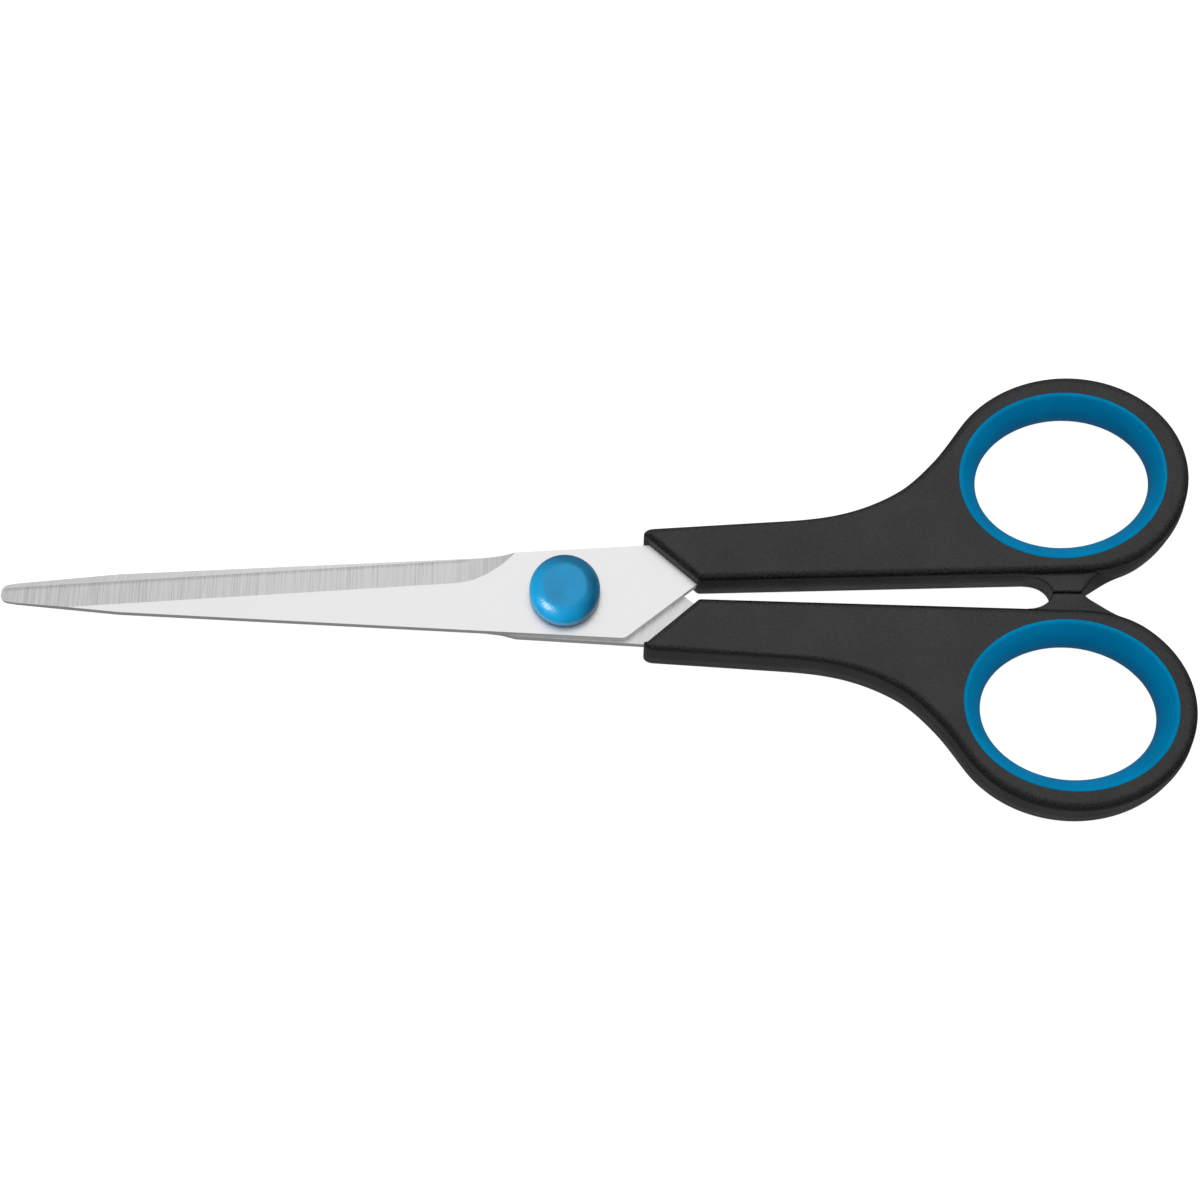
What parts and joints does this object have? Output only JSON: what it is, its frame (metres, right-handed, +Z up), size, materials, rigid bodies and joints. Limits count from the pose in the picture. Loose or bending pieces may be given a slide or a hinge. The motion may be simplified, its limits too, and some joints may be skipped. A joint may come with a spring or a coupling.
{
  "type": "office scissors",
  "caption": "Closed office scissors: two ground steel blades on a capped pivot, moulded handles with soft rings in the finger loops.",
  "frame": {"origin": "middle of the closed scissors' length and width, on the surface that they lie on", "axes": "+X from the tip towards the finger loops, +Y towards the loop of the front half, +Z up through the pivot towards the cap"},
  "size_m": [0.1796, 0.0678, 0.011],
  "materials": {
    "blade_steel": "finely brushed flats, cross-ground bevel",
    "handle_black": "fine-grained matte moulding",
    "grip_blue": "smooth satin elastomer",
    "cap_blue": "satin moulding",
    "rivet_steel": "turned and formed steel"
  },
  "bodies": {
    "back_half": {"back_blade": "blade_steel", "lower_handle": "handle_black", "lower_grip_ring": "grip_blue", "pivot_rivet": "rivet_steel", "spring_washer": "rivet_steel", "rear_washer": "rivet_steel", "pivot_cap": "cap_blue"},
    "front_half": {"front_blade": "blade_steel", "upper_handle": "handle_black", "upper_grip_ring": "grip_blue"}
  },
  "joints": [
    {"name": "pivot", "type": "hinge", "parent": "back_half", "child": "front_half", "pos_m": [-0.00472, 0, 0.0047], "axis": [0, 0, 1], "range_deg": [0, 120]}
  ]
}
